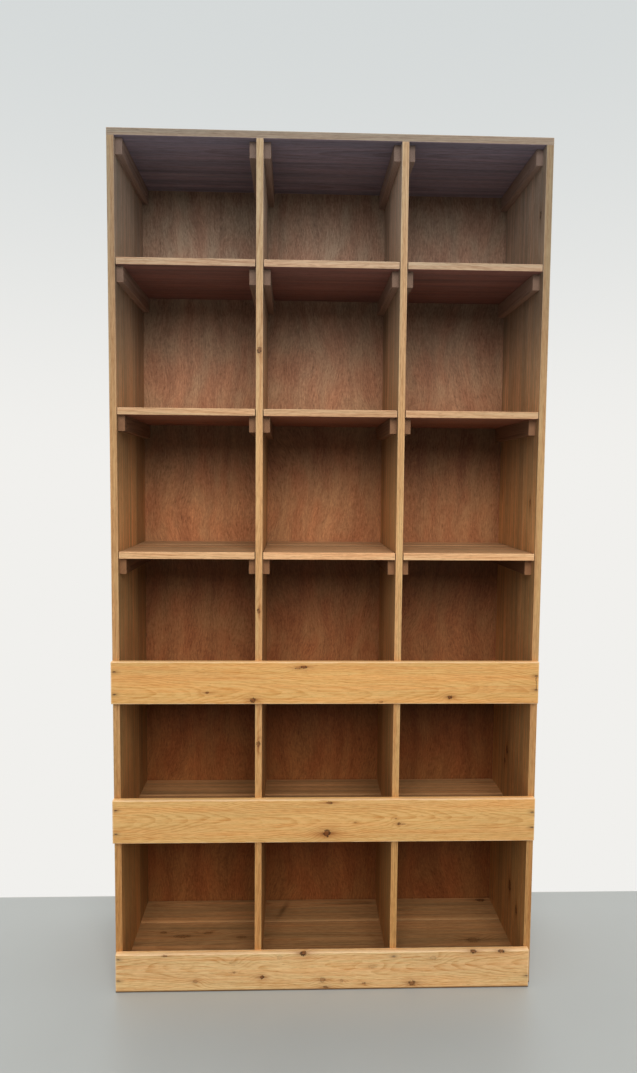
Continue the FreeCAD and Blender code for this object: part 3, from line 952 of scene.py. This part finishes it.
def finish_boards():
    """Assigns a material to every CAD node by the record's slot, and to each rail its own."""
    by_slot = {
        "pine_upright": pine(
            "pine_upright", GRAIN_UP, WOOD_COLOURS["pine_upright"], knots=UPRIGHT_KNOTS,
            shades=UPRIGHT_SHADES),
        "pine_top": pine(
            "pine_top", GRAIN_ACROSS_SHELF, WOOD_COLOURS["pine_top"], underside_shade=TOP_UNDERSIDE_SHADE),
        "pine_shelf": pine(
            "pine_shelf", GRAIN_ACROSS_SHELF, WOOD_COLOURS["pine_shelf"], knots=SHELF_KNOTS,
            stain=SHELF_STAIN, underside_shade=SHELF_UNDERSIDE_SHADE),
        "pine_cleat": batten("pine_cleat", WOOD_COLOURS["pine_cleat"]),
        "plywood_back": plywood("plywood_back", WOOD_COLOURS["plywood_back"]),
        "nail_steel": nail_steel("nail_steel"),
    }
    for part in frame["record"]["subparts"]:
        node, slot = part["node"], part["material_slot"]
        if slot.startswith("pine_") and slot != "pine_cleat":
            mark_board(node, slot)
        material = rail_material(node) if slot == "pine_rail" else by_slot[slot]
        mesh = frame["nodes"][node].data
        mesh.materials.clear()
        mesh.materials.append(material)


def floor_material():
    """A pale grey floor that turns white behind the bookcase, where it is seen as an even white."""
    material, graph = new_material("floor")
    place = graph.place()
    _, y, _ = graph.parts(place)
    behind = graph.step(y, *[WALL_LINE + shift for shift in WALL_BLEND])
    glowing = graph.step(y, *[WALL_LINE + shift for shift in WALL_GLOW])
    patches = swing(graph.noise(place, *FLOOR_PATCHES), FLOOR_PATCH_LIGHT)
    grey = graph.scaled(srgb(*FLOOR_GREY), patches + 1.0)
    rays = graph.node("ShaderNodeLightPath")
    seen = graph.largest(graph.output(rays, "Is Camera Ray"), graph.output(rays, "Is Glossy Ray"))
    floor = graph.node("ShaderNodeBsdfPrincipled", {
        "Base Color": graph.mix(behind, grey, srgb(*FLOOR_WHITE)),
        "Roughness": FLOOR_ROUGHNESS,
        "Specular IOR Level": FLOOR_SPECULAR,
    })
    white = graph.node("ShaderNodeEmission", {"Color": srgb(*WALL_WHITE), "Strength": 1.0})
    both = graph.node("ShaderNodeMixShader", {"Fac": glowing * seen})
    graph.tree.links.new(floor.outputs[0], both.inputs[1])
    graph.tree.links.new(white.outputs[0], both.inputs[2])
    graph.surface(both)
    return material


def add_floor():
    half = FLOOR_HALF
    corners = [(-half, -half, 0), (half, -half, 0), (half, half, 0), (-half, half, 0)]
    mesh = bpy.data.meshes.new("floor")
    mesh.from_pydata(corners, [], [(0, 1, 2, 3)])
    mesh.materials.append(floor_material())
    floor_object = bpy.data.objects.new("floor", mesh)
    bpy.context.scene.collection.objects.link(floor_object)
    floor_object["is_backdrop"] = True


def add_world():
    """A white surrounding to look at, and a soft light from high in front, from behind and from above."""
    world = bpy.data.worlds.new("studio")
    bpy.context.scene.world = world
    world.use_nodes = True
    graph = Graph(world.node_tree)
    rays = graph.node("ShaderNodeLightPath")
    shown = graph.largest(*[
        graph.output(rays, name) for name in ("Is Camera Ray", "Is Glossy Ray", "Is Transmission Ray")])
    direction = graph.output(graph.node("ShaderNodeTexCoord"), "Generated")
    _, backward, upward = graph.parts(direction)
    wall = graph.mix(graph.step(upward, *SKY_RISE), srgb(*WALL_WHITE), srgb(*SKY_GREY))
    ahead = graph.step(backward, *FRONT_TURN)
    above = rising(graph.step(upward, *FRONT_RISE), LOW_FRONT, 1.0 - LOW_FRONT)
    light = ahead * above * FRONT_LIGHT + (1.0 - ahead) * REAR_LIGHT
    light = light + graph.step(upward, *OVERHEAD_RISE) * OVERHEAD_LIGHT
    green, blue = [light * share for share in WARMTH]
    background = graph.node("ShaderNodeBackground", {
        "Color": graph.mix(shown, graph.vector(light, green, blue), wall),
        "Strength": 1.0,
    })
    output = graph.node("ShaderNodeOutputWorld")
    graph.tree.links.new(background.outputs[0], output.inputs["Surface"])


def add_key_light():
    """A wide soft lamp above the camera."""
    light = bpy.data.lights.new("key", "AREA")
    light.shape = "RECTANGLE"
    light.size, light.size_y = KEY_SIZE
    light.energy = KEY_POWER
    light.color = KEY_COLOUR
    lamp = bpy.data.objects.new("key", light)
    lamp.location = KEY_PLACE
    lamp.rotation_euler = (Vector(KEY_TARGET) - Vector(KEY_PLACE)).to_track_quat("-Z", "Y").to_euler()
    bpy.context.scene.collection.objects.link(lamp)


def add_camera():
    """The photograph's camera: level axis turned by yaw, pitch and roll."""
    yaw, pitch, roll = [math.radians(angle) for angle in (CAMERA_YAW, CAMERA_PITCH, CAMERA_ROLL)]
    forward = Vector((math.sin(yaw) * math.cos(pitch), math.cos(yaw) * math.cos(pitch), -math.sin(pitch)))
    level = Vector((math.cos(yaw), -math.sin(yaw), 0.0))
    right = level * math.cos(roll) + forward.cross(level) * math.sin(roll)
    up = right.cross(forward)
    data = bpy.data.cameras.new("camera")
    data.sensor_width = SENSOR
    data.lens = FOCAL_LENGTH / IMAGE_HEIGHT * SENSOR
    camera = bpy.data.objects.new("camera", data)
    turned = Matrix((right, up, -forward)).transposed().to_4x4()
    camera.matrix_world = Matrix.Translation(CAMERA_PLACE) @ turned
    bpy.context.scene.collection.objects.link(camera)
    bpy.context.scene.camera = camera


finish_boards()
add_floor()
add_world()
add_key_light()
add_camera()
bpy.context.scene.view_settings.view_transform = "Standard"

boxes = {"cad": cad_box, "visual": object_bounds()}
{name: [list(corner) for corner in box] for name, box in boxes.items()}
